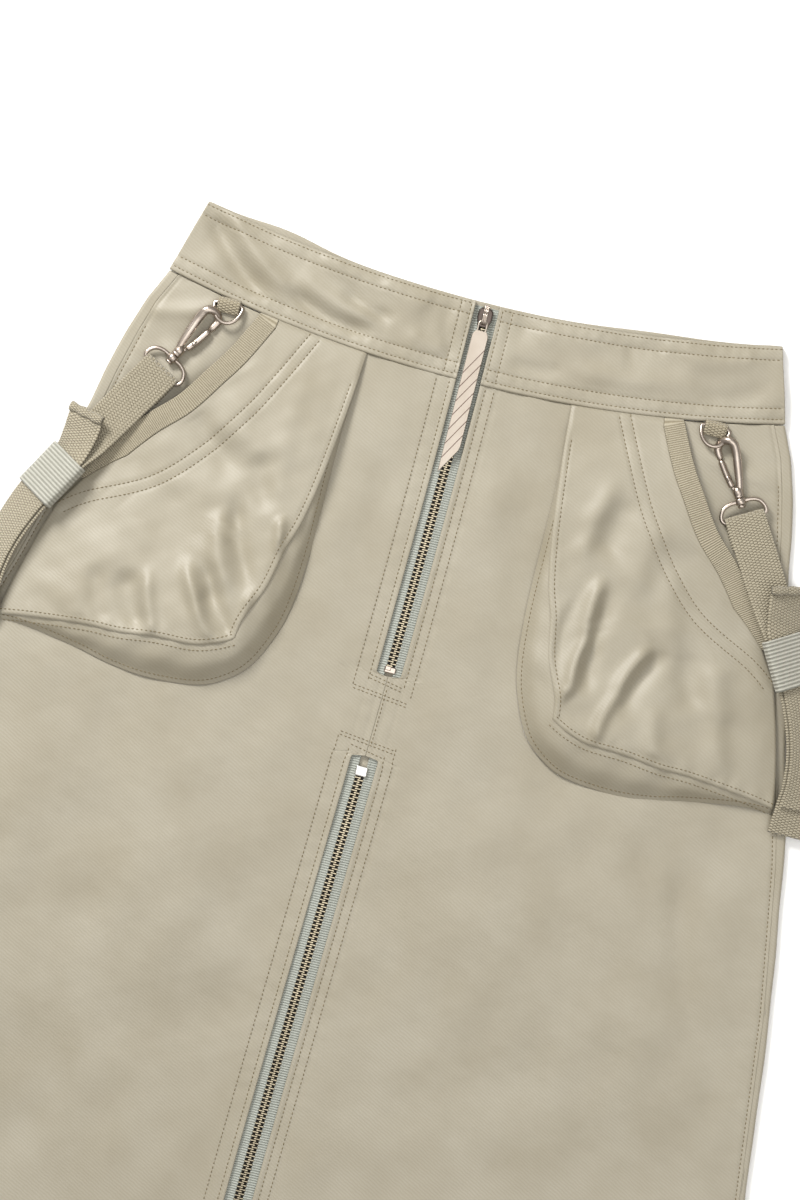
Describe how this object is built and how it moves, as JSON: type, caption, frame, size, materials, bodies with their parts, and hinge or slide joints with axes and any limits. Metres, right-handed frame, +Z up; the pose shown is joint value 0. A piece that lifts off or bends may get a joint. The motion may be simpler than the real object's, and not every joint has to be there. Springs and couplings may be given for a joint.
{
  "type": "cargo utility skirt",
  "caption": "Flat-laid khaki twill skirt with centre front zips, bellows cargo pockets with open slanted mouths, and webbing straps clipped to waist D-rings by snap hooks.",
  "frame": {"origin": "centre of the skirt's bounding box in plan, on the surface it lies on", "axes": "+Y towards the waist, +X to the right seen from above with the front up, +Z up"},
  "size_m": [0.6742, 0.8683, 0.0205],
  "materials": {
    "twill": "cotton twill, washed matt with a soft sheen",
    "band": "cotton twill, folded double",
    "binding": "ribbed grosgrain tape",
    "webbing": "coarse woven webbing",
    "elastic": "ribbed elastic",
    "tape": "woven zip tape",
    "teeth": "moulded teeth, satin",
    "nickel": "satin nickel plate",
    "blade": "polished champagne nickel plate",
    "slider": "dark enamelled die casting"
  },
  "bodies": {
    "root": {"back_panel": "twill", "d_ring_left": "nickel", "d_ring_right": "nickel", "front_left_panel": "twill", "front_right_panel": "twill", "hook_left": "nickel", "hook_loop_left": "nickel", "hook_loop_right": "nickel", "hook_right": "nickel", "keeper_left": "elastic", "keeper_right": "elastic", "pocket_binding_left": "binding", "pocket_binding_right": "binding", "pocket_front_left": "twill", "pocket_front_right": "twill", "pocket_gusset_left": "twill", "pocket_gusset_right": "twill", "ring_loop_left": "webbing", "ring_loop_right": "webbing", "strap_left": "webbing", "strap_right": "webbing", "strap_tail_left": "webbing", "strap_tail_right": "webbing", "waistband_back": "band", "waistband_front_left": "band", "waistband_front_right": "band", "zip_lower_chain": "teeth", "zip_lower_slider": "slider", "zip_lower_stop": "nickel", "zip_lower_tape_left": "tape", "zip_lower_tape_right": "tape", "zip_upper_chain": "teeth", "zip_upper_slider": "slider", "zip_upper_stop": "nickel", "zip_upper_tape_left": "tape", "zip_upper_tape_right": "tape"},
    "upper_pull": {"zip_upper_pull": "blade"},
    "lower_pull": {"zip_lower_pull": "blade"},
    "gate_left": {"hook_gate_left": "nickel"},
    "gate_right": {"hook_gate_right": "nickel"}
  },
  "joints": [
    {"name": "upper_pull_hinge", "type": "hinge", "parent": "root", "child": "upper_pull", "pos_m": [0.0165, 0.4057, 0.00575], "axis": [-1, 0, 0], "range_deg": [0, 170]},
    {"name": "lower_pull_hinge", "type": "hinge", "parent": "root", "child": "lower_pull", "pos_m": [0, -0.3993, 0.00575], "axis": [-1, 0, 0], "range_deg": [0, 170]},
    {"name": "gate_left_hinge", "type": "hinge", "parent": "root", "child": "gate_left", "pos_m": [-0.14655, 0.34684, 0.0076], "axis": [0, 0, 1], "range_deg": [0, 15], "stiffness_Nm_per_rad": 0.02, "springref_deg": -5.73},
    {"name": "gate_right_hinge", "type": "hinge", "parent": "root", "child": "gate_right", "pos_m": [0.17955, 0.34684, 0.0076], "axis": [0, 0, -1], "range_deg": [0, 15], "stiffness_Nm_per_rad": 0.02, "springref_deg": -5.73}
  ]
}
